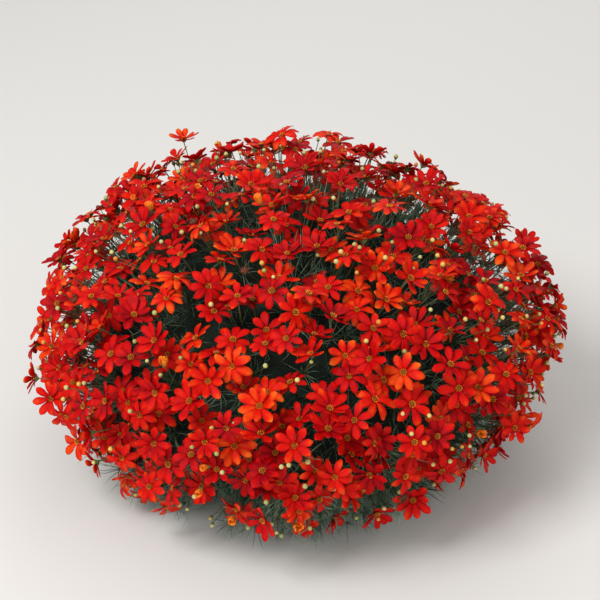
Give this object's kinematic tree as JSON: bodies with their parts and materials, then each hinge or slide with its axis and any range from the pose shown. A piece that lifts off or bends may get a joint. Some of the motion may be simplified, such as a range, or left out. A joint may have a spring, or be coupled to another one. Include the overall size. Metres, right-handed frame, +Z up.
{
  "type": "coreopsis plant",
  "caption": "Low round clump of threadleaf coreopsis in full bloom, orange-red daisies over fine dark foliage, cut at the soil.",
  "frame": {"origin": "centre of the flat cut underside of the woody crown, at soil level", "axes": "+Z up through the clump, -Y towards the side that the picture shows"},
  "size_m": [0.6272, 0.6197, 0.3476],
  "materials": {
    "crown": "dry rough bark",
    "bloom": "matt petals with a faint sheen",
    "foliage": "matt thread leaves and stems",
    "bud": "smooth satin bud"
  },
  "bodies": {
    "root": {"crown": "crown", "skirt_bunch_01": "bloom", "skirt_bunch_02": "bloom", "skirt_bunch_03": "bloom", "skirt_bunch_04": "bloom", "skirt_bunch_05": "bloom", "skirt_bunch_06": "bloom", "skirt_bunch_07": "bloom", "skirt_bunch_08": "bloom", "skirt_bunch_09": "bloom", "skirt_bunch_10": "bloom", "skirt_bunch_11": "bloom", "skirt_bunch_12": "bloom", "skirt_bunch_13": "bloom", "flank_bunch_01": "bloom", "flank_bunch_02": "bloom", "flank_bunch_03": "bloom", "flank_bunch_04": "bloom", "flank_bunch_05": "bloom", "flank_bunch_06": "bloom", "flank_bunch_07": "bloom", "flank_bunch_08": "bloom", "flank_bunch_09": "bloom", "flank_bunch_10": "bloom", "flank_bunch_11": "bloom", "shoulder_bunch_01": "bloom", "shoulder_bunch_02": "bloom", "shoulder_bunch_03": "bloom", "shoulder_bunch_04": "bloom", "shoulder_bunch_05": "bloom", "shoulder_bunch_06": "bloom", "shoulder_bunch_07": "bloom", "shoulder_bunch_08": "bloom", "upper_bunch_01": "bloom", "upper_bunch_02": "bloom", "upper_bunch_03": "bloom", "upper_bunch_04": "bloom", "upper_bunch_05": "bloom", "cap_bunch_01": "bloom"}
  },
  "joints": []
}
